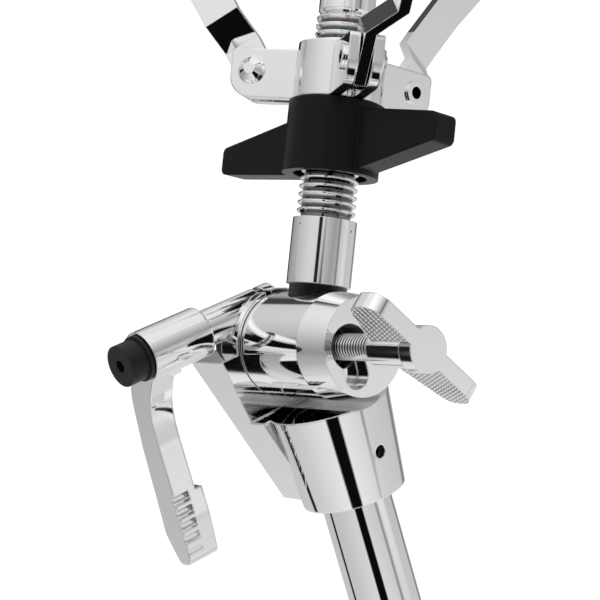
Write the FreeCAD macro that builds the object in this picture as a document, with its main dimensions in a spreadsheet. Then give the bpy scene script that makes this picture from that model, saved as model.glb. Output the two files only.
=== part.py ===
import FreeCAD, Part
import Sketcher
import math
import os

# Snare drum stand: folding tripod, telescoping tube, lever tilter and three-arm basket.
# Millimetres, +Z up, origin on the floor under the tube. X is the tilter's axis.

SIZES = {
    # running and seating clearances
    "fit_gap": 0.05,
    "slide_gap": 0.3,
    "overrun": 1.0,
    # tubes
    "tube_radius": 11.1,
    "tube_wall": 1.5,
    "tube_bottom": 190.0,
    "base_radius": 14.3,
    "base_wall": 1.5,
    "base_drop": 24.0,
    "base_top": 330.0,
    "cap_thickness": 5.0,
    "cap_spigot": 12.0,
    # tripod linkage: equal links make the sliding collar travel straight
    "pivot_circle": 29.0,
    "link_length": 110.0,
    "leg_tail": 165.0,
    "spread_angle": 57.0,
    "pivot_radius": 2.5,
    "leg_inner_width": 8.6,
    "leg_wall": 1.6,
    "leg_depth": 13.0,
    "leg_end_margin": 5.5,
    "strut_thickness": 8.0,
    "strut_width": 9.0,
    "ear_thickness": 3.2,
    "ear_radius": 5.5,
    "collar_radius": 19.5,
    "collar_height": 24.0,
    "brace_height": 20.0,
    "foot_radius": 12.0,
    "foot_width": 22.0,
    "foot_grip": 16.0,
    "rivet_head_radius": 4.4,
    "rivet_head": 1.8,
    "first_leg_angle": 30.0,
    # height clamp
    "bush_depth": 26.0,
    "bush_rise": 16.0,
    "clamp_radius": 20.5,
    "clamp_drop": 22.0,
    "clamp_rise": 15.0,
    "boss_radius": 8.5,
    "boss_reach": 30.0,
    "bolt_height": 8.0,
    # wing bolts
    "bolt_radius": 4.0,
    "wing_hub_radius": 5.6,
    "wing_hub_length": 21.0,
    "wing_span": 23.5,
    "wing_root_height": 17.0,
    "wing_tip_height": 10.5,
    "wing_thickness": 5.2,
    "wing_corner": 4.6,
    "wing_end_boss": 6.8,
    "bolt_neck": 8.0,
    "tilter_bolt_angle": 34.0,
    # tilter housing
    "rim_height": 430.0,
    "rim_radius": 16.4,
    "saddle_top_radius": 19.2,
    "saddle_top": 30.5,
    "tube_seat": 20.0,
    "axis_height": 49.0,
    "barrel_radius": 16.5,
    "saddle_gap": 3.0,
    "cheek_face": 14.8,
    "cheek_radius": 17.8,
    "cheek_thickness": 17.0,
    "cheek_end_radius": 14.0,
    "gusset_thickness": 30.0,
    "gusset_crown": 3.0,
    "gusset_toe": 3.0,
    "clamp_boss_radius": 5.8,
    "clamp_boss_front": 24.0,
    "clamp_boss_back": 5.0,
    "screw_offset_along": 22.0,
    "screw_offset_up": 13.0,
    "slot_width": 2.2,
    "journal_radius": 7.6,
    "journal_length": 14.0,
    "set_screw_radius": 2.0,
    "set_screw_length": 5.0,
    "set_screw_height": 14.5,
    "set_screw_angle": 3.0,
    "set_screw_hex": 1.0,
    # clamp lever
    "lever_hub_radius": 8.0,
    "lever_hub_length": 22.0,
    "lever_reach": 70.0,
    "lever_thickness": 10.9,
    "lever_scoop_depth": 2.6,
    "lever_scoop_start": 9.0,
    "lever_scoop_end": 47.0,
    "lever_round": 2.5,
    "lever_bow_radius": 25.0,
    "notch_radius": 1.6,
    "notch_pitch": 4.4,
    "screw_radius": 4.0,
    "screw_head_radius": 6.5,
    "screw_head": 7.5,
    "screw_flange_radius": 7.2,
    "screw_flange": 1.2,
    "hex_radius": 2.2,
    "hex_depth": 4.0,
    # barrel
    "shoulder_along": 13.5,
    "nose_along": 25.0,
    "nose_radius": 15.1,
    "nose_bore_radius": 6.7,
    "nose_bore_depth": 10.0,
    "nose_offset": 5.0,
    "nose_rise": 1.8,
    "nose_standoff": 6.0,
    "nose_slot_radius": 4.4,
    "nose_slot_reach": 8.6,
    "nose_slot_depth": 5.0,
    "nose_slot_angle": 178.0,
    "post_neck_radius": 9.0,
    # post and thread
    "tilt_angle": 27.3,
    "post_radius": 10.0,
    "post_start": 18.3,
    "post_end": 38.7,
    "neck_depth": 8.0,
    "thread_radius": 9.1,
    "thread_root": 7.7,
    "thread_pitch": 2.5,
    "thread_turns": 22.0,
    "rod_radius": 8.8,
    "rod_top": 128.0,
    "rod_tip": 3.0,
    # black wing nut
    "nut_start": 52.5,
    "nut_end": 75.0,
    "nut_radius": 15.0,
    "nut_wing_reach": 45.0,
    "nut_wing_root": 20.0,
    "nut_wing_tip": 8.5,
    "nut_wing_drop": 4.0,
    "nut_wing_thickness": 9.0,
    "nut_wing_corner": 2.0,
    "nut_recess": 4.0,
    "nut_recess_radius": 11.6,
    "nut_turn_angle": 8.0,
    # basket hub
    "hub_start": 75.4,
    "hub_height": 17.5,
    "hub_radius": 13.8,
    "hub_floor": 2.4,
    "hub_crown": 1.0,
    "hub_ear_height": 15.6,
    "hub_ear_thickness": 3.2,
    "hub_ear_gap": 4.3,
    "hub_ear_reach": 34.5,
    "hub_pivot_circle": 27.5,
    "hub_pivot_up": 8.8,
    "hub_rivet_radius": 2.4,
    "hub_rivet_head_radius": 4.6,
    "hub_rivet_head": 2.4,
    "rivet_tail_radius": 3.8,
    "rivet_tail": 0.9,
    "rivet_bore": 2.0,
    "first_arm_angle": -26.0,
    # arms
    "arm_width": 12.0,
    "arm_thickness": 3.5,
    "arm_rise_angle": 56.0,
    "joggle_start": 10.5,
    "joggle_run": 8.0,
    "joggle_offset": 8.0,
    "joggle_end": 24.0,
    "arm_bend_radius": 210.0,
    "arm_bend_angle": 18.0,
    "arm_straight": 66.0,
    "arm_end_rise": 32.0,
    "arm_corner": 14.0,
    "heel_length": 19.4,
    "heel_radius": 2.0,
    "heel_groove_gap": 0.25,
    "heel_groove_root": 5.0,
    "grip_radius": 9.5,
    "grip_length": 30.0,
    "grip_notch": 4.0,
    "grip_grab": 26.0,
}

# Shares of other sizes
ALMOST_ROUND_SHARE = 0.96
CHEEK_STRAIGHT_SHARE = 0.5
FLANK_SHARE = 0.46
CREST_SHARE = 0.25
THREAD_END_SHARE = 1.0
HUB_ROUND_SHARE = 0.8
HEAD_SHARE = 0.8
CROWN_SHARE = 0.4
WING_ROOT_SHARE = 0.7
BEND_SHARES = (0.0, 0.25, 0.5, 0.75, 1.0)
END_TURN_SHARE = 0.6
NOTCH_EDGE_SHARE = -0.088
# The lever arm's outline as shares of its reach, along the barrel's axis and then up, from the root round
LEVER_ROOT_SHARES = ((0.09, -0.04), (-0.08, 0.06))
LEVER_LEFT_SHARES = ((-0.185, -0.2), (-0.22, -0.43))
LEVER_TIP_SHARES = ((-0.25, -0.86), (-0.2, -1.0), (-0.115, -1.0))
LEVER_RIGHT_SHARES = ((-0.09, -0.8), (-0.086, -0.43), (-0.07, -0.25))

doc = FreeCAD.newDocument("snare_stand")
sheet = doc.addObject("Spreadsheet::Sheet", "Sizes")


class Size:
    """A length, angle or share with its number and the sheet formula that drives it."""

    def __init__(self, number, formula):
        self.number = float(number)
        self.formula = formula

    def __add__(self, other):
        other = as_size(other)
        return Size(self.number + other.number, f"({self.formula} + {other.formula})")

    def __sub__(self, other):
        other = as_size(other)
        return Size(self.number - other.number, f"({self.formula} - {other.formula})")

    def __mul__(self, other):
        other = as_size(other)
        return Size(self.number * other.number, f"({self.formula} * {other.formula})")

    def __truediv__(self, other):
        other = as_size(other)
        return Size(self.number / other.number, f"({self.formula} / {other.formula})")

    def __neg__(self):
        return Size(-self.number, f"(0 - {self.formula})")

    def __rsub__(self, other):
        return as_size(other) - self

    __radd__ = __add__
    __rmul__ = __mul__


def as_size(value):
    return value if isinstance(value, Size) else Size(value, repr(float(value)))


def sine(angle):
    angle = as_size(angle)
    return Size(math.sin(math.radians(angle.number)), f"sin({angle.formula} * 1deg)")


def cosine(angle):
    angle = as_size(angle)
    return Size(math.cos(math.radians(angle.number)), f"cos({angle.formula} * 1deg)")


class Dimensions:
    """The sheet's cells as Size attributes."""

    def __init__(self):
        for row, (alias, number) in enumerate(SIZES.items(), start=1):
            sheet.set(f"A{row}", alias)
            sheet.set(f"B{row}", str(number))
            sheet.setAlias(f"B{row}", alias)
            setattr(self, alias, Size(number, f"Sizes.{alias}"))


dim = Dimensions()
doc.recompute()

AXES = {"X": (1, 0, 0), "Y": (0, 1, 0), "Z": (0, 0, 1)}
pieces = []
counter = {"made": 0}


def fresh(kind):
    counter["made"] += 1
    return f"{kind}_{counter['made']}"


def move(x=0, y=0, z=0):
    """The formula of a placement that shifts by x, y, z."""
    spots = "; ".join(as_size(value).formula for value in (x, y, z))
    return f"placement(vector({spots}); rotation(vector(0; 0; 1); 0))"


def turn(axis, angle):
    """The formula of a placement that turns about an axis through the origin."""
    spots = "; ".join(str(value) for value in AXES[axis])
    return f"placement(vector(0; 0; 0); rotation(vector({spots}); {as_size(angle).formula}))"


def chain(*steps):
    return " * ".join(steps)


def primitive(kind, place, **sizes):
    item = doc.addObject(f"Part::{kind}", fresh(kind.lower()))
    for name, value in sizes.items():
        item.setExpression(name, as_size(value).formula)
    if place:
        item.setExpression("Placement", place)
    return item


def cylinder(radius, height, place=None):
    return primitive("Cylinder", place, Radius=radius, Height=height)


def cone(low_radius, high_radius, height, place=None):
    return primitive("Cone", place, Radius1=low_radius, Radius2=high_radius, Height=height)


def block(length, width, height, place=None):
    """A box centred on its own X and Y, standing on z = 0."""
    centre = move(length / -2, width / -2, 0)
    return primitive("Box", chain(place, centre) if place else centre,
                     Length=length, Width=width, Height=height)


def outline(points, place):
    """A closed sketch through points (x, y) or (x, y, corner radius)."""
    sketch = doc.addObject("Sketcher::SketchObject", fresh("outline"))
    spots = [tuple(as_size(value) for value in point) for point in points]
    count = len(spots)
    flat = [FreeCAD.Vector(spot[0].number, spot[1].number, 0) for spot in spots]
    starts, ends, rounds = [], [], []
    for index, spot in enumerate(spots):
        corner = flat[index]
        if len(spot) == 2:
            starts.append(corner)
            ends.append(corner)
            rounds.append(None)
            continue
        inward = (flat[index - 1] - corner).normalize()
        outward = (flat[(index + 1) % count] - corner).normalize()
        half = inward.getAngle(outward) / 2
        reach = spot[2].number / math.tan(half)
        middle = corner + (inward + outward).normalize() * (spot[2].number / math.sin(half))
        first = corner + inward * reach
        last = corner + outward * reach
        bulge = middle + (corner - middle).normalize() * spot[2].number
        starts.append(first)
        ends.append(last)
        rounds.append(Part.Arc(first, bulge, last))
    lines = [sketch.addGeometry(Part.LineSegment(ends[i], starts[(i + 1) % count]))
             for i in range(count)]
    for index, spot in enumerate(spots):
        before, after = lines[index - 1], lines[index]
        if rounds[index] is None:
            sketch.addConstraint(Sketcher.Constraint("Coincident", before, 2, after, 1))
            holder, end = after, 1
        else:
            arc = sketch.addGeometry(rounds[index])
            swapped = sketch.getPoint(arc, 1).distanceToPoint(starts[index]) > sketch.getPoint(
                arc, 2).distanceToPoint(starts[index])
            sketch.addConstraint(Sketcher.Constraint("Tangent", before, 2, arc, 2 if swapped else 1))
            sketch.addConstraint(Sketcher.Constraint("Tangent", after, 1, arc, 1 if swapped else 2))
            size = sketch.addConstraint(Sketcher.Constraint("Radius", arc, spot[2].number))
            sketch.setExpression(f"Constraints[{size}]", spot[2].formula)
            holder = sketch.addGeometry(Part.Point(flat[index]), True)
            end = 1
            sketch.addConstraint(Sketcher.Constraint("PointOnObject", holder, 1, before))
            sketch.addConstraint(Sketcher.Constraint("PointOnObject", holder, 1, after))
        for kind, value in (("DistanceX", spot[0]), ("DistanceY", spot[1])):
            size = sketch.addConstraint(Sketcher.Constraint(kind, holder, end, value.number))
            sketch.setExpression(f"Constraints[{size}]", value.formula)
    sketch.setExpression("Placement", place)
    return sketch


def plate(points, thickness, place):
    """A flat piece: its outline in local X and Y, its thickness centred on local Z."""
    sketch = outline(points, chain(place, move(0, 0, as_size(thickness) / -2)))
    solid = doc.addObject("Part::Extrusion", fresh("plate"))
    solid.Base = sketch
    solid.DirMode = "Normal"
    solid.Solid = True
    solid.setExpression("LengthFwd", as_size(thickness).formula)
    return solid


def joined(items, place=None):
    if len(items) == 1:
        group = doc.addObject("Part::Compound", fresh("group"))
        group.Links = items
    else:
        group = doc.addObject("Part::MultiFuse", fresh("joined"))
        group.Shapes = items
        group.Refine = True
    if place:
        group.setExpression("Placement", place)
    return group


def without(item, cutters, place=None):
    tool = cutters[0] if len(cutters) == 1 else joined(cutters)
    result = doc.addObject("Part::Cut", fresh("cut"))
    result.Base = item
    result.Tool = tool
    result.Refine = True
    if place:
        result.setExpression("Placement", place)
    return result


def gathered(items, place=None):
    """Separate like pieces that share one node."""
    group = doc.addObject("Part::Compound", fresh("group"))
    group.Links = items
    if place:
        group.setExpression("Placement", place)
    return group


def piece(label, item):
    item.Label = label
    pieces.append(item)


LEGS = range(3)
THIRD = 120

# Tripod heights follow from the links
pivot_low = dim.foot_radius + (dim.leg_tail - dim.link_length) * cosine(dim.spread_angle)
pivot_high = pivot_low + 2 * dim.link_length * cosine(dim.spread_angle)
base_bottom = pivot_low - dim.base_drop
leg_outer = dim.leg_inner_width + 2 * dim.leg_wall


def leg_turn(index):
    return turn("Z", dim.first_leg_angle + THIRD * index)


def base_tube():
    length = dim.base_top - base_bottom
    place = move(0, 0, base_bottom)
    shell = cylinder(dim.base_radius, length, place)
    bore = cylinder(dim.base_radius - dim.base_wall, length + 2 * dim.overrun,
                    move(0, 0, base_bottom - dim.overrun))
    piece("base_tube", without(shell, [bore]))


def end_cap():
    disc = cylinder(dim.base_radius, dim.cap_thickness, move(0, 0, base_bottom - dim.cap_thickness))
    spigot = cylinder(dim.base_radius - dim.base_wall - dim.fit_gap, dim.cap_spigot + dim.cap_thickness,
                      move(0, 0, base_bottom - dim.cap_thickness))
    piece("end_cap", joined([disc, spigot]))


def pivot_ears(gap):
    """Three pairs of ears on the pivot circle, in a collar's own frame."""
    ears = []
    for index in LEGS:
        for side in (-1, 1):
            across = (gap / 2 + dim.slide_gap + dim.ear_thickness / 2) * side
            spot = chain(leg_turn(index), move(dim.pivot_circle / 2, across, 0))
            arm = block(dim.pivot_circle, dim.ear_thickness, 2 * dim.ear_radius,
                        chain(spot, move(0, 0, -dim.ear_radius)))
            tip = cylinder(dim.ear_radius, dim.ear_thickness,
                           chain(leg_turn(index), move(dim.pivot_circle, across, 0), turn("X", 90),
                                 move(0, 0, dim.ear_thickness / -2)))
            ears += [arm, tip]
    return ears


def pivot_holes(radius):
    length = 2 * dim.collar_radius
    return [cylinder(radius, length, chain(leg_turn(index), move(dim.pivot_circle, length / 2, 0),
                                           turn("X", 90))) for index in LEGS]


def pivot_rivets(grip):
    """Three rivets across the ears: shank with a head at each end."""
    rivets = []
    for index in LEGS:
        length = grip + 2 * dim.slide_gap + 2 * dim.ear_thickness
        spot = chain(leg_turn(index), move(dim.pivot_circle, length / 2, 0), turn("X", 90))
        shank = cylinder(dim.pivot_radius, length, spot)
        near = cylinder(dim.rivet_head_radius, dim.rivet_head, chain(spot, move(0, 0, -dim.rivet_head)))
        far = cylinder(dim.rivet_head_radius, dim.rivet_head, chain(spot, move(0, 0, length)))
        rivets.append(joined([shank, near, far]))
    return rivets


def clevis_collar(label, height, gap, bore_gap, level, boss=None):
    ring = cylinder(dim.collar_radius, height, move(0, 0, height / -2))
    body = joined([ring] + pivot_ears(gap) + ([boss[0]] if boss else []))
    bore = cylinder(dim.base_radius + bore_gap, height + 2 * dim.overrun,
                    move(0, 0, height / -2 - dim.overrun))
    cuts = [bore] + pivot_holes(dim.pivot_radius + dim.fit_gap) + ([boss[1]] if boss else [])
    piece(label, without(body, cuts, move(0, 0, level)))


def collar_bolt_place():
    return chain(turn("Z", dim.first_leg_angle - THIRD / 2), turn("Y", 90))


def tripod_collars():
    clevis_collar("brace_collar", dim.brace_height, dim.strut_thickness, dim.fit_gap, pivot_low)
    boss = cylinder(dim.boss_radius, dim.boss_reach, collar_bolt_place())
    hole = cylinder(dim.bolt_radius + dim.fit_gap, dim.boss_reach + dim.overrun, collar_bolt_place())
    clevis_collar("leg_collar", dim.collar_height, leg_outer, dim.slide_gap, pivot_high, (boss, hole))
    piece("brace_rivets", gathered(pivot_rivets(dim.strut_thickness), move(0, 0, pivot_low)))
    piece("collar_rivets", gathered(pivot_rivets(leg_outer), move(0, 0, pivot_high)))


def leg_line(index):
    """A leg's own frame: X runs from the upper pivot to the foot, Z lies across the leg."""
    return chain(leg_turn(index), move(dim.pivot_circle, 0, pivot_high), turn("X", 90),
                 turn("Z", dim.spread_angle - 90))


def strut_line(index):
    """A strut's own frame: X runs from the lower pivot to the knee."""
    return chain(leg_turn(index), move(dim.pivot_circle, 0, pivot_low), turn("X", 90),
                 turn("Z", 90 - dim.spread_angle))


def bar_outline(start, end, width):
    half = as_size(width) / 2
    return [(start - half, -half, half * ALMOST_ROUND_SHARE), (end + half, -half, half * ALMOST_ROUND_SHARE),
            (end + half, half, half * ALMOST_ROUND_SHARE), (start - half, half, half * ALMOST_ROUND_SHARE)]


def leg(index):
    whole = dim.link_length + dim.leg_tail
    half = dim.leg_depth / 2
    bar = plate([(-dim.leg_end_margin, -half, dim.leg_wall), (whole, -half), (whole, half),
                 (-dim.leg_end_margin, half, dim.leg_wall)], leg_outer, move())
    trough = plate([(-dim.leg_end_margin - dim.overrun, -half - dim.overrun),
                    (whole + dim.overrun, -half - dim.overrun),
                    (whole + dim.overrun, half - dim.leg_wall),
                    (-dim.leg_end_margin - dim.overrun, half - dim.leg_wall)], dim.leg_inner_width, move())
    holes = [cylinder(dim.pivot_radius + dim.fit_gap, 2 * leg_outer, move(spot, 0, -leg_outer))
             for spot in (as_size(0), dim.link_length)]
    piece(f"leg_{index + 1}", without(bar, [trough] + holes, leg_line(index)))


def strut(index):
    bar = plate(bar_outline(as_size(0), dim.link_length, dim.strut_width), dim.strut_thickness, move())
    holes = [cylinder(dim.pivot_radius + dim.fit_gap, 2 * leg_outer, move(spot, 0, -leg_outer))
             for spot in (as_size(0), dim.link_length)]
    piece(f"strut_{index + 1}", without(bar, holes, strut_line(index)))


def knee_rivet(index):
    shank = cylinder(dim.pivot_radius, leg_outer, move(0, 0, leg_outer / -2))
    near = cylinder(dim.rivet_head_radius, dim.rivet_head, move(0, 0, leg_outer / -2 - dim.rivet_head))
    far = cylinder(dim.rivet_head_radius, dim.rivet_head, move(0, 0, leg_outer / 2))
    piece(f"knee_rivet_{index + 1}",
          joined([shank, near, far], chain(leg_line(index), move(dim.link_length, 0, 0))))


def foot(index):
    whole = dim.link_length + dim.leg_tail
    ball_end = cylinder(dim.foot_radius, dim.foot_width, move(0, 0, dim.foot_width / -2))
    sleeve = plate([(-dim.foot_grip, -dim.foot_radius, dim.leg_wall), (0, -dim.foot_radius),
                    (0, dim.foot_radius), (-dim.foot_grip, dim.foot_radius, dim.leg_wall)],
                   dim.foot_width, move())
    pocket = block(dim.foot_grip + dim.overrun, dim.leg_depth + 2 * dim.fit_gap,
                   leg_outer + 2 * dim.fit_gap,
                   move((dim.foot_grip + dim.overrun) / -2, 0, leg_outer / -2 - dim.fit_gap))
    piece(f"foot_{index + 1}", without(joined([ball_end, sleeve]), [pocket],
                                       chain(leg_line(index), move(whole, 0, 0))))


def height_clamp():
    drop, rise = dim.clamp_drop, dim.clamp_rise
    sleeve = cylinder(dim.clamp_radius, drop + rise, move(0, 0, -drop))
    boss = cylinder(dim.boss_radius, dim.boss_reach, chain(move(0, 0, dim.bolt_height), turn("Y", 90)))
    low_bore = cylinder(dim.base_radius + dim.fit_gap, drop + dim.overrun, move(0, 0, -drop - dim.overrun))
    bush_bore = cylinder(bush_radius() + dim.fit_gap, rise + dim.boss_radius, move(0, 0, -dim.overrun))
    hole = cylinder(dim.bolt_radius + dim.fit_gap, dim.boss_reach + dim.overrun,
                    chain(move(0, 0, dim.bolt_height), turn("Y", 90)))
    piece("height_clamp", without(joined([sleeve, boss]), [low_bore, bush_bore, hole],
                                  move(0, 0, dim.base_top)))


def bush_radius():
    return dim.base_radius - dim.base_wall - dim.fit_gap


def bush():
    length = dim.bush_depth + dim.bush_rise
    shell = cylinder(bush_radius(), length, move(0, 0, -dim.bush_depth))
    bore = cylinder(dim.tube_radius + dim.fit_gap, length + 2 * dim.overrun,
                    move(0, 0, -dim.bush_depth - dim.overrun))
    piece("bush", without(shell, [bore], move(0, 0, dim.base_top)))


def upper_tube():
    length = dim.rim_height + dim.tube_seat - dim.tube_bottom
    shell = cylinder(dim.tube_radius, length)
    bore = cylinder(dim.tube_radius - dim.tube_wall, length + 2 * dim.overrun, move(0, 0, -dim.overrun))
    piece("upper_tube", without(shell, [bore], move(0, 0, dim.tube_bottom)))


def wing_bolt(label, tip, seat, place):
    """A wing bolt along local Z: its shank from tip to seat, then neck, hub and wings."""
    neck = seat + dim.bolt_neck
    top = neck + dim.wing_hub_length
    shank = cylinder(dim.bolt_radius, top - tip, move(0, 0, tip))
    hub = cylinder(dim.wing_hub_radius, dim.wing_hub_length, move(0, 0, neck))
    boss = cylinder(dim.wing_end_boss, dim.wing_thickness, move(0, 0, top - dim.wing_thickness))
    wings = plate([(-dim.wing_span, top, dim.wing_corner),
                   (-dim.wing_span, top - dim.wing_tip_height, dim.wing_corner),
                   (-dim.wing_hub_radius, top - dim.wing_root_height),
                   (dim.wing_hub_radius, top - dim.wing_root_height),
                   (dim.wing_span, top - dim.wing_tip_height, dim.wing_corner),
                   (dim.wing_span, top, dim.wing_corner)], dim.wing_thickness, turn("X", 90))
    piece(label, joined([shank, hub, boss, wings], place))


def tilter_frame():
    return move(0, 0, dim.rim_height)


def on_axis(along=0):
    """A placement on the tilter's axis whose local Z runs along X."""
    return chain(move(along, 0, dim.axis_height), turn("Y", 90))


def screw_line():
    """The clamp screw's frame: local Z runs out towards the lever."""
    return chain(move(-dim.screw_offset_along, 0, dim.axis_height + dim.screw_offset_up), turn("X", 90))


def tilter_housing():
    outer = dim.cheek_face + dim.cheek_thickness
    collar = cone(dim.rim_radius, dim.saddle_top_radius, dim.saddle_top)
    straight = dim.cheek_thickness * CHEEK_STRAIGHT_SHARE
    cheek = joined([cylinder(dim.cheek_radius, straight, on_axis(-dim.cheek_face - straight)),
                    cone(dim.cheek_end_radius, dim.cheek_radius, dim.cheek_thickness - straight,
                         on_axis(-outer))])
    boss = cylinder(dim.clamp_boss_radius, dim.clamp_boss_front + dim.clamp_boss_back,
                    chain(screw_line(), move(0, 0, -dim.clamp_boss_back)))
    gusset = primitive("Wedge", turn("X", 90), Xmin=-dim.rim_radius, Xmax=0,
                       Ymin=dim.gusset_toe, Ymax=dim.axis_height + dim.gusset_crown,
                       Zmin=dim.gusset_thickness / -2, Zmax=dim.gusset_thickness / 2,
                       X2min=-outer, X2max=-dim.cheek_face,
                       Z2min=-dim.clamp_boss_back, Z2max=dim.clamp_boss_front)
    saddle = cylinder(dim.barrel_radius + dim.saddle_gap, 2 * outer, on_axis(-dim.cheek_face))
    reach = 4 * dim.cheek_radius
    level = block(reach, reach, reach, move(reach / 2 - dim.cheek_face, 0, dim.saddle_top))
    seat = cylinder(dim.tube_radius + dim.fit_gap, dim.tube_seat + dim.overrun, move(0, 0, -dim.overrun))
    journal = cylinder(dim.journal_radius + dim.fit_gap, outer, on_axis(-outer - dim.overrun))
    slot = block(2 * dim.cheek_thickness, dim.slot_width, 2 * dim.cheek_radius,
                 move(-dim.cheek_face - dim.cheek_thickness, 0, dim.axis_height))
    screw = cylinder(dim.screw_radius + dim.fit_gap, 2 * dim.clamp_boss_front,
                     chain(screw_line(), move(0, 0, -dim.clamp_boss_back - dim.overrun)))
    grub = cylinder(dim.set_screw_radius + dim.fit_gap, 2 * dim.rim_radius, set_screw_line())
    body = joined([collar, cheek, boss, gusset])
    piece("tilter_housing", without(body, [saddle, level, seat, journal, slot, screw, grub], tilter_frame()))


def set_screw_line():
    return chain(turn("Z", dim.set_screw_angle), move(0, 0, dim.set_screw_height), turn("Y", 90))


def set_screw():
    start = dim.tube_radius + dim.fit_gap
    body = cylinder(dim.set_screw_radius, dim.set_screw_length, chain(set_screw_line(), move(0, 0, start)))
    socket = primitive("Prism", chain(set_screw_line(), move(0, 0, start + dim.set_screw_length / 2)),
                       Circumradius=dim.set_screw_hex, Height=dim.set_screw_length)
    piece("set_screw", without(body, [socket], tilter_frame()))


def lever_start():
    return dim.clamp_boss_front + dim.slide_gap


def clamp_screw():
    """The black socket screw through the clamp boss and the lever's hub."""
    back = dim.clamp_boss_back
    top = lever_start() + dim.lever_hub_length + dim.slide_gap
    shank = cylinder(dim.screw_radius, back + top, move(0, 0, -back))
    flange = cylinder(dim.screw_flange_radius, dim.screw_flange, move(0, 0, top))
    head = cylinder(dim.screw_head_radius, dim.screw_head, move(0, 0, top))
    socket = primitive("Prism", move(0, 0, top + dim.screw_head - dim.hex_depth),
                       Circumradius=dim.hex_radius, Height=dim.hex_depth + dim.overrun)
    piece("clamp_screw", without(joined([shank, flange, head]), [socket],
                                 chain(tilter_frame(), screw_line())))


def lever():
    """The clamp lever: a hub on the screw and a bowed arm, thinned behind, with grip notches."""
    reach, length, thick = dim.lever_reach, dim.lever_hub_length, dim.lever_thickness
    hub = cylinder(dim.lever_hub_radius, length)
    bow, tip = dim.lever_bow_radius, dim.lever_round
    corners = [(reach * along, reach * up) for along, up in LEVER_ROOT_SHARES]
    corners += [(reach * along, reach * up, bow) for along, up in LEVER_LEFT_SHARES]
    corners += [(reach * along, reach * up, tip) for along, up in LEVER_TIP_SHARES]
    corners += [(reach * along, reach * up, bow) for along, up in LEVER_RIGHT_SHARES]
    arm = plate(corners, thick, move(0, 0, length - thick / 2))
    start, end = dim.lever_scoop_start, dim.lever_scoop_end
    scoop = block(2 * reach, end - start, dim.lever_scoop_depth + dim.overrun,
                  move(0, (start + end) / -2, length - thick - dim.overrun))
    edge = reach * NOTCH_EDGE_SHARE
    level = length - thick / 2
    notches = [cylinder(dim.notch_radius, thick, move(edge, dim.notch_pitch * (step + 1) - reach, level))
               for step in range(5)]
    bore = cylinder(dim.screw_radius + dim.fit_gap, 2 * length, move(0, 0, -dim.overrun))
    piece("lever", without(joined([hub, arm]), [bore, scoop] + notches,
                           chain(tilter_frame(), screw_line(), move(0, 0, lever_start()))))


def barrel():
    length = dim.cheek_face - dim.slide_gap
    main = cylinder(dim.barrel_radius, length + dim.shoulder_along, move(0, 0, -length))
    nose = cone(dim.barrel_radius, dim.nose_radius, dim.nose_along - dim.shoulder_along,
                move(0, 0, dim.shoulder_along))
    journal = cylinder(dim.journal_radius, length + dim.journal_length,
                       move(0, 0, -length - dim.journal_length))
    bore = cylinder(dim.nose_bore_radius, dim.nose_bore_depth + dim.overrun,
                    move(-dim.nose_rise, -dim.nose_offset, dim.nose_along - dim.nose_bore_depth))
    bolt = cylinder(dim.bolt_radius + dim.fit_gap, 2 * dim.nose_along,
                    move(-dim.nose_rise, -dim.nose_offset, 0))
    floor = chain(move(-dim.nose_rise, -dim.nose_offset, dim.nose_along - dim.nose_slot_depth),
                  turn("Z", dim.nose_slot_angle))
    depth = dim.nose_slot_depth + dim.overrun
    slot_end = cylinder(dim.nose_slot_radius, depth, chain(floor, move(-dim.nose_slot_reach, 0, 0)))
    slot = block(dim.nose_slot_reach, 2 * dim.nose_slot_radius, depth,
                 chain(floor, move(dim.nose_slot_reach / -2, 0, 0)))
    socket = cylinder(dim.post_neck_radius + dim.fit_gap, 2 * dim.barrel_radius,
                      chain(turn("Z", -dim.tilt_angle), turn("Y", -90),
                            move(0, 0, -dim.neck_depth)))
    piece("barrel", without(joined([main, nose, journal]), [bore, bolt, slot_end, slot, socket],
                            chain(tilter_frame(), on_axis())))


def post_frame():
    """The tilted post's frame: local Z runs up the post from the tilter's axis."""
    return chain(tilter_frame(), move(0, 0, dim.axis_height), turn("X", -dim.tilt_angle))


def hub_level():
    return dim.hub_start + dim.hub_pivot_up


def post():
    """Post, thread and rod, turned in one profile, with a groove for the arms' heels."""
    groove = dim.heel_radius + dim.heel_groove_gap
    middle = hub_level()
    points = [(0, -dim.neck_depth + dim.fit_gap), (dim.post_neck_radius, -dim.neck_depth + dim.fit_gap),
              (dim.post_neck_radius, dim.post_start), (dim.post_radius, dim.post_start),
              (dim.post_radius, dim.post_end), (dim.thread_root, dim.post_end)]
    smooth_low, smooth_high = middle - groove, middle + groove
    turns = int(SIZES["thread_turns"])
    below = round((smooth_low.number - dim.post_end.number) / dim.thread_pitch.number - THREAD_END_SHARE)
    for step in range(turns):
        crest = dim.post_end + dim.thread_pitch * (step + 1)
        if step >= below:
            crest = smooth_high + dim.thread_pitch * (step + 1 - below)
        if step == below:
            points += [(dim.thread_root, smooth_low), (dim.heel_groove_root, smooth_low),
                       (dim.heel_groove_root, smooth_high), (dim.thread_root, smooth_high)]
        flank = dim.thread_pitch * FLANK_SHARE
        points += [(dim.thread_root, crest - flank), (dim.thread_radius, crest - flank * CREST_SHARE),
                   (dim.thread_radius, crest + flank * CREST_SHARE), (dim.thread_root, crest + flank)]
    points += [(dim.rod_radius, crest + dim.thread_pitch), (dim.rod_radius, dim.rod_top - dim.rod_tip),
               (dim.rod_radius - dim.rod_tip, dim.rod_top), (0, dim.rod_top)]
    wire = Part.makePolygon([FreeCAD.Vector(as_size(x).number, 0, as_size(y).number)
                             for x, y in points + points[:1]])
    item = doc.addObject("Part::Feature", "post")
    item.Shape = Part.Face(wire).revolve(FreeCAD.Vector(), FreeCAD.Vector(0, 0, 1), 360)
    item.setExpression("Placement", post_frame())
    piece("post", item)


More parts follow.
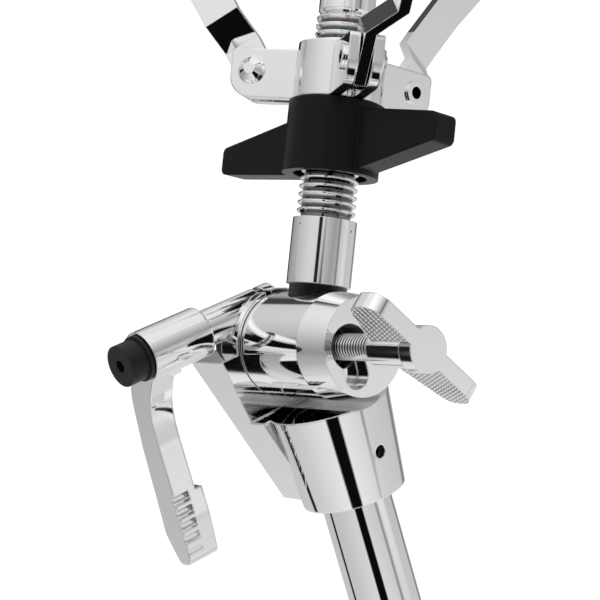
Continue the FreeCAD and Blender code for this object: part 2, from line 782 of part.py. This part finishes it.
def wing_nut():
    height = dim.nut_end - dim.nut_start
    hub = cylinder(dim.nut_radius, height)
    reach, tip = dim.nut_wing_reach, dim.nut_wing_tip
    low = (height - dim.nut_wing_root) / 2
    corner, root = dim.nut_wing_corner, dim.nut_radius * WING_ROOT_SHARE
    top = height - low
    high = top - dim.nut_wing_drop
    wings = plate([(-reach, low, corner), (-root, 0), (root, 0), (reach, high - tip, corner),
                   (reach, high, corner), (0, top), (-reach, low + tip, corner)],
                  dim.nut_wing_thickness, turn("X", 90))
    bore = cylinder(dim.thread_radius + dim.fit_gap, height + 2 * dim.overrun, move(0, 0, -dim.overrun))
    recess = cylinder(dim.nut_recess_radius, dim.nut_recess + dim.overrun, move(0, 0, -dim.overrun))
    piece("wing_nut", without(joined([hub, wings]), [bore, recess],
                              chain(post_frame(), move(0, 0, dim.nut_start), turn("Z", dim.nut_turn_angle))))


def arm_turn(index):
    return turn("Z", dim.first_arm_angle + THIRD * index)


def basket_hub():
    body = cylinder(dim.hub_radius, dim.hub_height)
    half_gap = dim.hub_ear_gap / 2
    ears, cuts = [], []
    for index in LEGS:
        for side in (-1, 1):
            across = (half_gap + dim.hub_ear_thickness / 2) * side
            ears.append(plate([(0, 0), (dim.hub_ear_reach, 0, dim.hub_pivot_up * HUB_ROUND_SHARE),
                               (dim.hub_ear_reach, dim.hub_ear_height, dim.hub_ear_thickness / 2),
                               (0, dim.hub_ear_height)], dim.hub_ear_thickness,
                              chain(arm_turn(index), move(0, across, 0), turn("X", 90))))
        cuts.append(block(2 * dim.hub_ear_reach, dim.hub_ear_gap,
                          dim.hub_height - dim.hub_floor - dim.hub_crown,
                          chain(arm_turn(index), move(dim.hub_ear_reach, 0, dim.hub_floor))))
        cuts.append(cylinder(dim.hub_rivet_radius + dim.fit_gap, 2 * dim.hub_radius,
                             chain(arm_turn(index), move(dim.hub_pivot_circle, dim.hub_radius,
                                                         dim.hub_pivot_up), turn("X", 90))))
    bore = cylinder(dim.thread_radius + dim.slide_gap, dim.hub_height + 2 * dim.overrun,
                    move(0, 0, -dim.overrun))
    piece("basket_hub", without(joined([body] + ears), cuts + [bore],
                                chain(post_frame(), move(0, 0, dim.hub_start))))


def hub_rivets():
    """Tubular rivets: a domed head on one side, a rolled hollow tail on the other."""
    length = dim.hub_ear_gap + 2 * dim.hub_ear_thickness
    rivets = []
    for index in LEGS:
        spot = chain(arm_turn(index), move(dim.hub_pivot_circle, length / 2, dim.hub_pivot_up),
                     turn("X", 90))
        shank = cylinder(dim.hub_rivet_radius, length, spot)
        wide, deep = dim.hub_rivet_head_radius, dim.hub_rivet_head / 2
        head = cone(wide * HEAD_SHARE, wide, deep, chain(spot, move(0, 0, -deep)))
        crown = cone(wide * CROWN_SHARE, wide * HEAD_SHARE, deep, chain(spot, move(0, 0, -2 * deep)))
        tail = cylinder(dim.rivet_tail_radius, dim.rivet_tail, chain(spot, move(0, 0, length)))
        hollow = cylinder(dim.rivet_bore, length, chain(spot, move(0, 0, length / 2)))
        rivets.append(without(joined([shank, head, crown, tail]), [hollow]))
    piece("hub_rivets", gathered(rivets, chain(post_frame(), move(0, 0, dim.hub_start))))


def arm_line(index):
    """An arm's own frame: X runs out along the arm from its rivet, Z lies across it."""
    return chain(post_frame(), arm_turn(index), move(dim.hub_pivot_circle, 0, hub_level()), turn("X", 90),
                 turn("Z", dim.arm_rise_angle))


def arm_bend(side, share):
    """A point on the bend's edge: side is the half width to either side, share the way along it."""
    angle = dim.arm_bend_angle * share
    radius = dim.arm_bend_radius + side
    return (dim.joggle_end + radius * sine(angle), radius * cosine(angle) - dim.arm_bend_radius)


def arm_tip():
    """The end of the arm's straight stretch, in the arm's frame."""
    bend = dim.arm_bend_angle
    x, y = arm_bend(as_size(0), 1.0)
    return x + dim.arm_straight * cosine(bend), y - dim.arm_straight * sine(bend)


def arm(index):
    half, wide = dim.arm_thickness / 2, dim.arm_width / 2
    offset, start, run = dim.joggle_offset, dim.joggle_start, dim.joggle_run
    edge = [(-wide, -half), (start, -half), (start + run, -offset - half), (dim.joggle_end, -offset - half),
            (dim.joggle_end, -offset + half), (start + run, -offset + half), (start, half), (-wide, half)]
    joggle = plate(edge, dim.arm_width, turn("X", 90))
    x, y = arm_tip()
    bend = dim.arm_bend_angle
    end_turn = END_TURN_SHARE * dim.arm_rise_angle
    up_x = x + dim.arm_end_rise * cosine(end_turn)
    up_y = y + dim.arm_end_rise * sine(end_turn)
    lower = [arm_bend(-wide, share) for share in BEND_SHARES]
    upper = [arm_bend(wide, share) for share in reversed(BEND_SHARES)]
    across = (wide * sine(bend), wide * cosine(bend))
    rise = (wide * sine(end_turn), wide * cosine(end_turn))
    end = [(x + across[0], y - across[1], dim.arm_corner), (up_x + rise[0], up_y - rise[1]),
           (up_x - rise[0], up_y + rise[1]), (x - across[0], y + across[1])]
    sweep = plate(lower + end + upper, dim.arm_thickness, move(0, 0, -offset))
    tongue = plate([(-dim.heel_length * cosine(dim.arm_rise_angle), dim.heel_length * sine(
        dim.arm_rise_angle) - dim.heel_radius), (0, -wide / 2), (0, wide / 2),
        (-dim.heel_length * cosine(dim.arm_rise_angle), dim.heel_length * sine(
            dim.arm_rise_angle) + dim.heel_radius / 2)], dim.arm_thickness, move())
    toe = cylinder(dim.heel_radius, dim.arm_thickness,
                   move(-dim.heel_length * cosine(dim.arm_rise_angle),
                        dim.heel_length * sine(dim.arm_rise_angle), -half))
    hole = cylinder(dim.hub_rivet_radius + dim.fit_gap, 2 * dim.arm_width, move(0, 0, -dim.arm_width))
    piece(f"arm_{index + 1}", without(joined([joggle, sweep, tongue, toe]), [hole], arm_line(index)))


def grip(index):
    """A rubber grip on the arm's raised end, with a seat for the drum's hoop."""
    angle = END_TURN_SHARE * dim.arm_rise_angle
    x, y = arm_tip()
    spot = chain(move(x + dim.arm_end_rise * cosine(angle), y + dim.arm_end_rise * sine(angle),
                      -dim.joggle_offset), turn("Z", angle), turn("Y", 90))
    body = cylinder(dim.grip_radius, dim.grip_length,
                    chain(spot, move(0, 0, dim.grip_grab - dim.grip_length)))
    pocket = block(dim.arm_thickness + 2 * dim.fit_gap, dim.arm_width + 2 * dim.fit_gap, dim.grip_length,
                   chain(spot, move(0, 0, -dim.grip_length)))
    notch = cylinder(dim.grip_notch, 2 * dim.grip_radius,
                     chain(spot, move(dim.grip_radius, dim.grip_radius, dim.grip_grab / 2), turn("Y", -90)))
    piece(f"grip_{index + 1}", without(body, [pocket, notch], arm_line(index)))


base_tube()
end_cap()
tripod_collars()
for number in LEGS:
    leg(number)
    strut(number)
    knee_rivet(number)
    foot(number)
height_clamp()
bush()
upper_tube()
tilter_housing()
set_screw()
clamp_screw()
lever()
barrel()
post()
wing_nut()
basket_hub()
hub_rivets()
for number in LEGS:
    arm(number)
    grip(number)
wing_bolt("collar_bolt", dim.base_radius + dim.slide_gap, dim.boss_reach,
          chain(move(0, 0, pivot_high), collar_bolt_place()))
wing_bolt("height_bolt", bush_radius() + dim.slide_gap, dim.boss_reach,
          chain(move(0, 0, dim.base_top + dim.bolt_height), turn("Y", 90)))
wing_bolt("tilter_bolt", dim.post_neck_radius + dim.slide_gap, dim.nose_along + dim.nose_standoff,
          chain(tilter_frame(), on_axis(), move(-dim.nose_rise, -dim.nose_offset, 0),
                turn("Z", dim.tilter_bolt_angle)))

doc.recompute()
for item in doc.Objects:
    if {"Invalid", "Error"} & set(item.State):
        raise SystemExit(f"{item.Name} ({item.Label}) failed: {item.State}")
for item in pieces:
    if item.Shape.isNull() or not item.Shape.isValid():
        raise SystemExit(f"{item.Label} has no valid shape")
os.makedirs("parts", exist_ok=True)
for item in pieces:
    item.Shape.exportStep(f"parts/{item.Label}.step")
    print(item.Label, len(item.Shape.Solids), round(item.Shape.Volume))
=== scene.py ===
"""Looks of a snare drum stand: chrome tubes and castings, black wing nut, rubber feet, pale studio."""
import math

import bpy
from mathutils import Matrix, Vector

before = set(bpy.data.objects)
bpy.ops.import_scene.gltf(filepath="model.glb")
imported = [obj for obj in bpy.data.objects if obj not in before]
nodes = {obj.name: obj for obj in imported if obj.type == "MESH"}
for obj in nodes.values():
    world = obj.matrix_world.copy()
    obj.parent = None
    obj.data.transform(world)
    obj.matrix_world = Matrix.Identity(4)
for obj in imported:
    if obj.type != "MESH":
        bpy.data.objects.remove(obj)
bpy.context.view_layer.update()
MM = 0.001

# The camera that matches the photograph, worked out from the tube, barrel, post and wing nut
AIM = Vector((0, 0, 490)) * MM
AIM_RIGHT = -0.8 * MM
AIM_UP = 3.5 * MM
CAMERA_AZIMUTH = math.radians(-35.63)
CAMERA_ELEVATION = math.radians(11.74)
CAMERA_ROLL = math.radians(-15.98)
CAMERA_DISTANCE = 548.9 * MM
CAMERA_FIELD = math.radians(18.98)
CLIP_START = 0.01
CLIP_END = 100


def add_camera():
    back = Vector((math.cos(CAMERA_ELEVATION) * math.cos(CAMERA_AZIMUTH),
                   math.cos(CAMERA_ELEVATION) * math.sin(CAMERA_AZIMUTH),
                   math.sin(CAMERA_ELEVATION)))
    level = Vector((-math.sin(CAMERA_AZIMUTH), math.cos(CAMERA_AZIMUTH), 0))
    rise = back.cross(level)
    right = math.cos(CAMERA_ROLL) * level + math.sin(CAMERA_ROLL) * rise
    up = math.cos(CAMERA_ROLL) * rise - math.sin(CAMERA_ROLL) * level
    place = AIM + back * CAMERA_DISTANCE + right * AIM_RIGHT + up * AIM_UP
    data = bpy.data.cameras.new("photo_camera")
    data.sensor_fit = "HORIZONTAL"
    data.angle = CAMERA_FIELD
    data.clip_start = CLIP_START
    data.clip_end = CLIP_END
    camera = bpy.data.objects.new("photo_camera", data)
    turn = Matrix((right, up, back)).transposed().to_4x4()
    camera.matrix_world = Matrix.Translation(place) @ turn
    bpy.context.scene.collection.objects.link(camera)
    bpy.context.scene.camera = camera


# Functions that make shader nodes, shared by the materials and the light
EDGE_SAMPLES = 6


def new_material(name, metallic=0.0):
    material = bpy.data.materials.new(name)
    material.use_nodes = True
    tree = material.node_tree
    shader = tree.nodes["Principled BSDF"]
    shader.inputs["Metallic"].default_value = metallic
    return material, tree, shader


def node(tree, kind, **inputs):
    """A node with some of its inputs set. A space in an input's name is written as an underscore."""
    made = tree.nodes.new(kind)
    for name, value in inputs.items():
        made.inputs[name.replace("_", " ")].default_value = value
    return made


def feed(tree, value, socket):
    """Sets an input to a fixed number or colour, or links it to another node's output."""
    if isinstance(value, bpy.types.NodeSocket):
        tree.links.new(value, socket)
    else:
        socket.default_value = value


def pattern(tree, kind, output, **inputs):
    """A texture that is fixed to the piece it is on."""
    made = node(tree, kind, **inputs)
    spot = tree.nodes.new("ShaderNodeTexCoord")
    tree.links.new(spot.outputs["Object"], made.inputs["Vector"])
    return made.outputs[output]


def noise(tree, scale, detail=3.0):
    return pattern(tree, "ShaderNodeTexNoise", "Fac", Scale=scale, Detail=detail)


def coordinates(tree, output="Object"):
    """The X, Y and Z of a point, or with output Normal those of the way that the surface faces."""
    spot = tree.nodes.new("ShaderNodeTexCoord")
    parts = tree.nodes.new("ShaderNodeSeparateXYZ")
    tree.links.new(spot.outputs[output], parts.inputs["Vector"])
    return [parts.outputs[axis] for axis in "XYZ"]


def ramp(tree, source, low, high, low_value, high_value):
    """low_value where source is up to low, high_value from high on, and an even change between."""
    made = node(tree, "ShaderNodeMapRange", From_Min=low, From_Max=high, To_Min=low_value, To_Max=high_value)
    made.clamp = True
    tree.links.new(source, made.inputs["Value"])
    return made.outputs["Result"]


def combine(tree, operation, first, second=0):
    made = tree.nodes.new("ShaderNodeMath")
    made.operation = operation
    feed(tree, first, made.inputs[0])
    feed(tree, second, made.inputs[1])
    return made.outputs[0]


def times(tree, first, *others):
    """The product of values."""
    product = first
    for other in others:
        product = combine(tree, "MULTIPLY", product, other)
    return product


def magnitude(tree, value):
    """The value without its sign."""
    return combine(tree, "ABSOLUTE", value)


def weighted(tree, first, second):
    """The sum of two values, each given with the number that it is multiplied by."""
    return combine(tree, "ADD", times(tree, *first), times(tree, *second))


def far_from(tree, first, second):
    """The distance from an axis, by two coordinates square to it."""
    return combine(tree, "SQRT", weighted(tree, (first, first), (second, second)))


def rings(tree, along, pitch):
    """A wave from -1 to 1 along a thread's axis."""
    return combine(tree, "SINE", times(tree, along, 2 * math.pi / pitch))


def blend(tree, first, second, share):
    """first where share is 0 and second where it is 1; colours are fixed or come from another node."""
    mix = tree.nodes.new("ShaderNodeMix")
    mix.data_type = "RGBA"
    tree.links.new(share, mix.inputs["Factor"])
    feed(tree, first, mix.inputs["A"])
    feed(tree, second, mix.inputs["B"])
    return mix.outputs["Result"]


def bump(tree, shader, source, strength, distance, round_edge):
    """Fine relief over edges that are rounded off by round_edge, as plating and moulding leave them."""
    made = node(tree, "ShaderNodeBump", Strength=strength, Distance=distance)
    tree.links.new(source, made.inputs["Height"])
    edges = node(tree, "ShaderNodeBevel", Radius=round_edge)
    edges.samples = EDGE_SAMPLES
    tree.links.new(edges.outputs["Normal"], made.inputs["Normal"])
    tree.links.new(made.outputs["Normal"], shader.inputs["Normal"])


# Chrome on plain pieces. In bores and narrow gaps, where little of what is around lies open, painted shade
# darkens it
PLATE_COLOUR = (0.93, 0.932, 0.938, 1)
CAST_COLOUR = (0.91, 0.912, 0.918, 1)
RECESS_SHADE_COLOUR = (0.05, 0.05, 0.052, 1)
RECESS_REACH = 6 * MM
RECESS_OPEN = (0.12, 0.45)
RECESS_SAMPLES = 8
SMEAR_SCALE = 60.0
SMEAR_SPREAD = (0.35, 0.75)
RIPPLE_SCALE = 140.0
RIPPLE_DETAIL = 1.0
RIPPLE_HEIGHT = 0.2 * MM


def recessed(tree, colour):
    """The colour, with painted shade from an occlusion node darkening it in bores and narrow gaps."""
    cover = node(tree, "ShaderNodeAmbientOcclusion", Distance=RECESS_REACH)
    cover.samples = RECESS_SAMPLES
    return blend(tree, RECESS_SHADE_COLOUR, colour, ramp(tree, cover.outputs["AO"], *RECESS_OPEN, 0, 1))


def chrome(name, colour, ripple, roughness, round_edge):
    """Chrome plate: bright, with painted shade in bores and narrow gaps, a slight ripple and faint smears
    that vary its roughness.
    """
    material, tree, shader = new_material(name, metallic=1.0)
    # Painted shade: the chrome's colour darkens in bores and narrow gaps
    tree.links.new(recessed(tree, colour), shader.inputs["Base Color"])
    smears = ramp(tree, noise(tree, SMEAR_SCALE), *SMEAR_SPREAD, *roughness)
    tree.links.new(smears, shader.inputs["Roughness"])
    waves = noise(tree, RIPPLE_SCALE, RIPPLE_DETAIL)
    bump(tree, shader, waves, ripple, RIPPLE_HEIGHT, round_edge)
    return material


def plate_chrome():
    return chrome("chrome_plate", PLATE_COLOUR, ripple=0.01, roughness=(0.03, 0.07), round_edge=0.25 * MM)


def cast_chrome():
    return chrome("chrome_casting", CAST_COLOUR, ripple=0.006, roughness=(0.03, 0.08), round_edge=0.8 * MM)


# The post leans from the barrel's axis, which runs along X. Its neck, thread and copper ring are placed
# along it from that axis, and its thread's root and crest by their distances from its own axis
AXIS_HEIGHT = 479 * MM
TILT = math.radians(27.3)
SMOOTH_ROUGHNESS = 0.05
POST_RADIUS = 10.0 * MM
POST_EDGE = 0.3 * MM
NECK_COLOUR = (0.02, 0.02, 0.02, 1)
NECK_END = 18.3 * MM
NECK_FADE = 0.1 * MM
NECK_PITCH = 1.6 * MM
NECK_STRENGTH = 1.0
NECK_RELIEF = 0.3 * MM
# Painted shade for thread roots, the nose bore and the knurl's grooves
GROOVE_SHADE_COLOUR = (0.12, 0.12, 0.125, 1)
GROOVE_SHADE_SHARE = 0.85
THREAD_START = (38.6 * MM, 38.8 * MM)
THREAD_DEPTH = (7.7 * MM, 8.9 * MM)
COPPER_COLOUR = (0.5, 0.22, 0.12, 1)
COPPER_LOW = 100.3 * MM
COPPER_HIGH = 101.7 * MM
COPPER_FADE = 0.3 * MM
COPPER_SCALE = 500.0
COPPER_SPREAD = (0.45, 0.65)
COPPER_SHARES = (0.1, 0.8)
PIT_COLOUR = (0.03, 0.025, 0.02, 1)
PIT_SCALE = 260.0
PIT_EDGE = (0.07, 0.1)


def thread_grooves(tree, along, away):
    """How much painted shade the post's thread gets: most at its roots, and none off the thread."""
    from_start = ramp(tree, along, *THREAD_START, 0, 1)
    to_end = ramp(tree, along, COPPER_LOW, COPPER_HIGH, 1, 0)
    return times(tree, from_start, to_end, ramp(tree, away, *THREAD_DEPTH, GROOVE_SHADE_SHARE, 0))


def copper_ring(tree, along):
    """How much copper shows, in patches, in a narrow ring at the thread's end."""
    from_low = ramp(tree, along, COPPER_LOW, COPPER_LOW + COPPER_FADE, 0, 1)
    to_high = ramp(tree, along, COPPER_HIGH - COPPER_FADE, COPPER_HIGH, 1, 0)
    patches = ramp(tree, noise(tree, COPPER_SCALE), *COPPER_SPREAD, *COPPER_SHARES)
    return times(tree, from_low, to_high, patches)


def neck_diamonds(tree, along, around):
    """Two waves that cross on the neck, for its knurl."""
    return times(tree, rings(tree, combine(tree, "ADD", around, along), NECK_PITCH),
                 rings(tree, combine(tree, "SUBTRACT", around, along), NECK_PITCH))


def post_chrome():
    """Chrome with plating pits: dark knurled neck, painted shade in the thread grooves, bare copper at the
    thread's end.
    """
    material, tree, shader = new_material("chrome_post", metallic=1.0)
    shader.inputs["Roughness"].default_value = SMOOTH_ROUGHNESS
    x, y, z = coordinates(tree)
    up = combine(tree, "SUBTRACT", z, AXIS_HEIGHT)
    along = weighted(tree, (y, math.sin(TILT)), (up, math.cos(TILT)))
    across = weighted(tree, (y, math.cos(TILT)), (up, -math.sin(TILT)))
    cells = pattern(tree, "ShaderNodeTexVoronoi", "Distance", Scale=PIT_SCALE)
    neck = ramp(tree, along, NECK_END - NECK_FADE, NECK_END, 1, 0)
    shade = PLATE_COLOUR
    # Painted shade darkens the thread's roots; copper, pits and the dark neck are the post's own colours
    for colour, share in ((GROOVE_SHADE_COLOUR, thread_grooves(tree, along, far_from(tree, x, across))),
                          (COPPER_COLOUR, copper_ring(tree, along)),
                          (PIT_COLOUR, ramp(tree, cells, *PIT_EDGE, 1, 0)),
                          (NECK_COLOUR, neck)):
        shade = blend(tree, shade, colour, share)
    tree.links.new(shade, shader.inputs["Base Color"])
    around = times(tree, combine(tree, "ARCTAN2", across, x), POST_RADIUS)
    relief = times(tree, neck_diamonds(tree, along, around), neck)
    bump(tree, shader, relief, NECK_STRENGTH, NECK_RELIEF, POST_EDGE)
    return material


# The tilter's wing bolt and the bore around it run along X, to the side of the barrel's axis and above it.
# The knurl has lines out along the wings and lines that slant across these, each half a wave apart.
# WING_TURN is the lean from upright that the knurl takes the wings to have, which is near enough for it
BOLT_OFFSET = 5.0 * MM
BOLT_RISE = 1.8 * MM
BOLT_PITCH = 1.25 * MM
WING_TURN = math.radians(26.7)
WING_START = (6.5 * MM, 7.5 * MM)
WING_SIDE_FACING = (0.9, 0.96)
KNURL_SHADE_COLOUR = (0.1, 0.1, 0.105, 1)
KNURL_ROUGHNESS = 0.08
KNURL_OUTWARD_WAVE = 4.0 * MM
KNURL_SLANTING_WAVE = 2.4 * MM
KNURL_SLANT = 0.48
KNURL_GROOVE = (0.1, 0.4)
KNURL_STRENGTH = 1.0
KNURL_RELIEF = 0.5 * MM
WING_EDGE = 0.5 * MM
SHANK_RADIUS = (4.0 * MM, 4.3 * MM)
SHANK_END_FACING = (0.3, 0.5)
BORE_RADIUS = (6.8 * MM, 7.0 * MM)
BORE_STRENGTH = 0.8
BORE_RELIEF = 0.4 * MM
BARREL_EDGE = 0.6 * MM


def from_bolt_axis(tree, y, z):
    """Places to the side of the bolt's axis and above it."""
    aside = combine(tree, "ADD", y, BOLT_OFFSET)
    above = combine(tree, "SUBTRACT", z, AXIS_HEIGHT + BOLT_RISE)
    return aside, above


def wing_diamonds(tree, x, out):
    """The height of the wings' knurl, 0 in its grooves."""
    outward = magnitude(tree, rings(tree, x, KNURL_OUTWARD_WAVE))
    slanting = magnitude(tree, rings(tree, weighted(tree, (out, 1), (x, KNURL_SLANT)), KNURL_SLANTING_WAVE))
    return combine(tree, "MINIMUM", outward, slanting)


def knurled_chrome():
    """The tilter's wing bolt: diamond knurl on the wings' sides with painted shade in its grooves, painted
    shade in recesses, and a fine thread on the shank.
    """
    material, tree, shader = new_material("chrome_knurled", metallic=1.0)
    shader.inputs["Roughness"].default_value = KNURL_ROUGHNESS
    x, y, z = coordinates(tree)
    face_x, face_y, face_z = coordinates(tree, "Normal")
    aside, above = from_bolt_axis(tree, y, z)
    out = weighted(tree, (aside, math.sin(WING_TURN)), (above, -math.cos(WING_TURN)))
    side = magnitude(tree, weighted(tree, (face_y, math.cos(WING_TURN)), (face_z, math.sin(WING_TURN))))
    knurled = times(tree, ramp(tree, side, *WING_SIDE_FACING, 0, 1),
                    ramp(tree, magnitude(tree, out), *WING_START, 0, 1))
    diamonds = wing_diamonds(tree, x, out)
    # Painted shade in the knurl's grooves, over painted recess shade on the cast colour
    grooves = times(tree, ramp(tree, diamonds, *KNURL_GROOVE, GROOVE_SHADE_SHARE, 0), knurled)
    shade = blend(tree, recessed(tree, CAST_COLOUR), KNURL_SHADE_COLOUR, grooves)
    tree.links.new(shade, shader.inputs["Base Color"])
    on_shank = times(tree, ramp(tree, far_from(tree, aside, above), *SHANK_RADIUS, 1, 0),
                     ramp(tree, magnitude(tree, face_x), *SHANK_END_FACING, 1, 0))
    thread = times(tree, rings(tree, x, BOLT_PITCH), on_shank)
    relief = combine(tree, "ADD", times(tree, diamonds, knurled), thread)
    bump(tree, shader, relief, KNURL_STRENGTH, KNURL_RELIEF, WING_EDGE)
    return material


def bored_chrome():
    """The tilter's barrel: smooth outside, with thread rings and painted shade in its nose bore, and painted
    shade in recesses.
    """
    material, tree, shader = new_material("chrome_barrel", metallic=1.0)
    shader.inputs["Roughness"].default_value = SMOOTH_ROUGHNESS
    x, y, z = coordinates(tree)
    inside = ramp(tree, far_from(tree, *from_bolt_axis(tree, y, z)), *BORE_RADIUS, 1, 0)
    # Painted shade inside the nose bore and in recesses
    shade = blend(tree, recessed(tree, PLATE_COLOUR), GROOVE_SHADE_COLOUR, inside)
    tree.links.new(shade, shader.inputs["Base Color"])
    relief = times(tree, rings(tree, x, BOLT_PITCH), inside)
    bump(tree, shader, relief, BORE_STRENGTH, BORE_RELIEF, BARREL_EDGE)
    return material


# Black pieces: moulded ones and blackened screws
GRAIN_SPREAD = (0.3, 0.7)
GRAIN_UNEVEN = 0.06
GRAIN_HEIGHT = 0.05 * MM


def grained(name, colour, roughness, gloss, scale, strength, round_edge):
    """A black surface with a fine grain that also varies its roughness."""
    material, tree, shader = new_material(name)
    shader.inputs["Base Color"].default_value = colour
    shader.inputs["Specular IOR Level"].default_value = gloss
    grain = noise(tree, scale)
    uneven = ramp(tree, grain, *GRAIN_SPREAD, roughness - GRAIN_UNEVEN, roughness + GRAIN_UNEVEN)
    tree.links.new(uneven, shader.inputs["Roughness"])
    bump(tree, shader, grain, strength, GRAIN_HEIGHT, round_edge)
    return material


def black_plastic():
    return grained("black_plastic", colour=(0.004, 0.004, 0.0045, 1), roughness=0.32, gloss=0.14,
                   scale=900.0, strength=0.2, round_edge=0.8 * MM)


def black_oxide():
    return grained("black_oxide", colour=(0.005, 0.005, 0.0055, 1), roughness=0.42, gloss=0.3,
                   scale=1500.0, strength=0.2, round_edge=0.3 * MM)


def black_nylon():
    return grained("black_nylon", colour=(0.03, 0.03, 0.03, 1), roughness=0.5, gloss=0.3,
                   scale=700.0, strength=0.1, round_edge=0.3 * MM)


def black_rubber():
    return grained("black_rubber", colour=(0.02, 0.02, 0.02, 1), roughness=0.7, gloss=0.3,
                   scale=500.0, strength=0.4, round_edge=1.2 * MM)


def dress(material, *names):
    for name in names:
        mesh = nodes[name].data
        mesh.materials.clear()
        mesh.materials.append(material)


def three_of(*kinds):
    """The names of the pieces that the stand has three of."""
    return [kind + "_" + str(count) for kind in kinds for count in (1, 2, 3)]


def dress_nodes():
    dress(plate_chrome(), "base_tube", "brace_rivets", "collar_rivets", "upper_tube", "hub_rivets",
          *three_of("strut", "leg", "knee_rivet", "arm"))
    dress(cast_chrome(), "tilter_housing", "lever", "basket_hub", "leg_collar", "brace_collar",
          "height_clamp", "collar_bolt", "height_bolt")
    dress(post_chrome(), "post")
    dress(knurled_chrome(), "tilter_bolt")
    dress(bored_chrome(), "barrel")
    dress(black_plastic(), "wing_nut")
    dress(black_oxide(), "clamp_screw", "set_screw")
    dress(black_nylon(), "bush")
    dress(black_rubber(), "end_cap", *three_of("foot", "grip"))


# The floor, which the chrome doesn't reflect
FLOOR_REACH = 8.0
FLOOR_COLOUR = (0.95, 0.95, 0.95, 1)
FLOOR_ROUGHNESS = 0.9


def add_floor():
    mesh = bpy.data.meshes.new("floor")
    corners = [(-FLOOR_REACH, -FLOOR_REACH, 0), (FLOOR_REACH, -FLOOR_REACH, 0),
               (FLOOR_REACH, FLOOR_REACH, 0), (-FLOOR_REACH, FLOOR_REACH, 0)]
    mesh.from_pydata(corners, [], [(0, 1, 2, 3)])
    floor = bpy.data.objects.new("floor", mesh)
    bpy.context.scene.collection.objects.link(floor)
    material, _, shader = new_material("pale_floor")
    shader.inputs["Base Color"].default_value = FLOOR_COLOUR
    shader.inputs["Roughness"].default_value = FLOOR_ROUGHNESS
    mesh.materials.append(material)
    floor.visible_glossy = False


# Studio walls as the chrome sees them: sine of the elevation and brightness, from the floor up
WALL_BY_HEIGHT = ((-1.0, 0.8), (-0.85, 0.68), (-0.6, 0.8), (-0.38, 0.6), (-0.2, 0.45), (-0.05, 0.4),
                  (0.1, 0.3), (0.3, 0.4), (0.55, 0.6), (0.8, 0.85), (1.0, 0.9))
# Dark gaps in the walls, and one brighter panel: azimuth, half width and width of the soft edge in
# degrees, brightness against the wall, and the sines of the elevations that it runs between
GAPS = ((-38.0, 11.0, 3.0, 0.004, -0.85, 0.32), (-46.0, 5.0, 3.0, 0.02, 0.3, 0.5),
        (40.0, 10.0, 12.0, 1.45, -0.32, 0.06), (21.0, 1.5, 3.0, 0.45, -0.42, 0.32),
        (-143.0, 3.5, 3.0, 0.01, -0.42, 0.32), (112.0, 5.0, 8.0, 0.4, -0.42, 0.32),
        (160.0, 9.0, 5.0, 0.05, -0.2, 0.3), (155.0, 4.0, 3.0, 0.1, 0.3, 0.66))
GAP_FADE = 0.08
# The walls near one azimuth are brighter than the rest
GLOW_AZIMUTH = -38.0
GLOW_REACH = 75.0
GLOW = 1.3
# White that the camera sees, and that lights what isn't glossy
PLAIN_WHITE = 1.2


def aside_from(tree, azimuth, degrees):
    """How far a direction lies to the side of an azimuth."""
    return magnitude(tree, combine(tree, "SUBTRACT", azimuth, math.radians(degrees)))


def wall_shade(tree, height):
    """The brightness of the walls by height."""
    walls = tree.nodes.new("ShaderNodeValToRGB")
    tree.links.new(ramp(tree, height, -1, 1, 0, 1), walls.inputs["Fac"])
    stops = walls.color_ramp.elements
    for level, _ in WALL_BY_HEIGHT[1:-1]:
        stops.new((level + 1) / 2)
    for stop, (level, brightness) in zip(stops, WALL_BY_HEIGHT):
        stop.position = (level + 1) / 2
        stop.color = (brightness, brightness, brightness, 1)
    return walls.outputs["Color"]


def add_light():
    """White room: plain for the camera and for soft light, grey panels with dark gaps for the chrome."""
    world = bpy.data.worlds.new("studio")
    bpy.context.scene.world = world
    world.use_nodes = True
    tree = world.node_tree
    x, y, height = coordinates(tree, "Generated")
    azimuth = combine(tree, "ARCTAN2", y, x)
    glow = ramp(tree, aside_from(tree, azimuth, GLOW_AZIMUTH), 0, math.radians(GLOW_REACH), GLOW, 1)
    shade = times(tree, wall_shade(tree, height), glow)
    for middle, half, soft, dark, lowest, highest in GAPS:
        gap = ramp(tree, aside_from(tree, azimuth, middle), math.radians(half), math.radians(half + soft),
                   1 - dark, 0)
        reach = times(tree, ramp(tree, height, lowest - GAP_FADE, lowest, 0, 1),
                      ramp(tree, height, highest, highest + GAP_FADE, 1, 0))
        shade = times(tree, shade, combine(tree, "SUBTRACT", 1, times(tree, gap, reach)))
    path = tree.nodes.new("ShaderNodeLightPath")
    mixed = node(tree, "ShaderNodeMix", A=PLAIN_WHITE)
    tree.links.new(path.outputs["Is Glossy Ray"], mixed.inputs["Factor"])
    tree.links.new(shade, mixed.inputs["B"])
    sky = tree.nodes["Background"]
    sky.inputs["Color"].default_value = (1, 1, 1, 1)
    tree.links.new(mixed.outputs["Result"], sky.inputs["Strength"])


bpy.context.scene.view_settings.view_transform = "Standard"
add_camera()
dress_nodes()
add_floor()
add_light()
